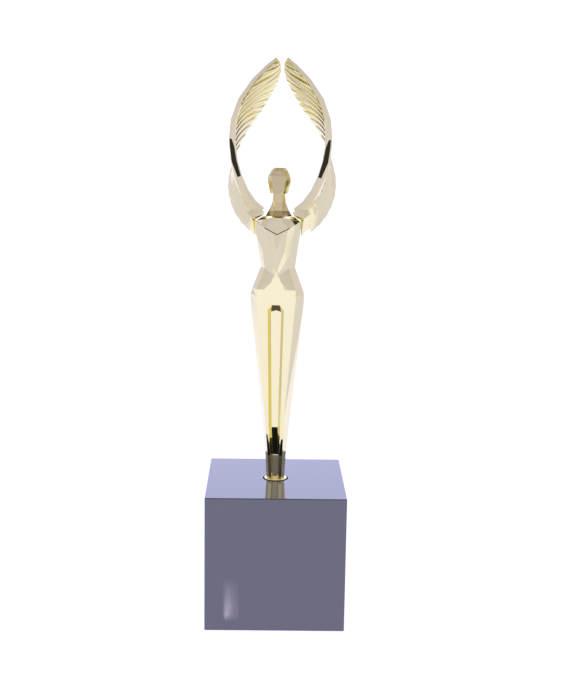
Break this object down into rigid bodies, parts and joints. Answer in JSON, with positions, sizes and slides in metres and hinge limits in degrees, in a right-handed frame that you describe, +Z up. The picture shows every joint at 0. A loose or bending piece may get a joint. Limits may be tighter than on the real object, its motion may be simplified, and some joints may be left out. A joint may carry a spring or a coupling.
{
  "type": "figure trophy",
  "caption": "Winged faceted figure trophy in bright gold plate on a polished black cube, with its stud fixing and felt pad",
  "frame": {"origin": "centre of the underside, on the surface that the trophy stands on", "axes": "+Z up along the figure, -Y is the side that the figure faces, +X is the figure's left-hand wing side as seen from the front on the right"},
  "size_m": [0.075, 0.075, 0.3031],
  "materials": {
    "plinth_black": "black stone, polished to a mirror on all sides",
    "felt_black": "pressed felt, glued on",
    "gold_plate": "bright pale gold plate over a zinc casting, mirror polished",
    "zinc_steel": "zinc plated steel"
  },
  "bodies": {
    "root": {"plinth_block": "plinth_black", "base_pad": "felt_black", "foot_collar": "gold_plate", "body_casting": "gold_plate", "head_and_neck": "gold_plate", "wing_left": "gold_plate", "wing_right": "gold_plate", "neck_pin": "zinc_steel", "wing_dowels": "zinc_steel", "fixing_stud": "zinc_steel", "plain_washer": "zinc_steel", "spring_washer": "zinc_steel", "hex_nut": "zinc_steel"}
  },
  "joints": []
}
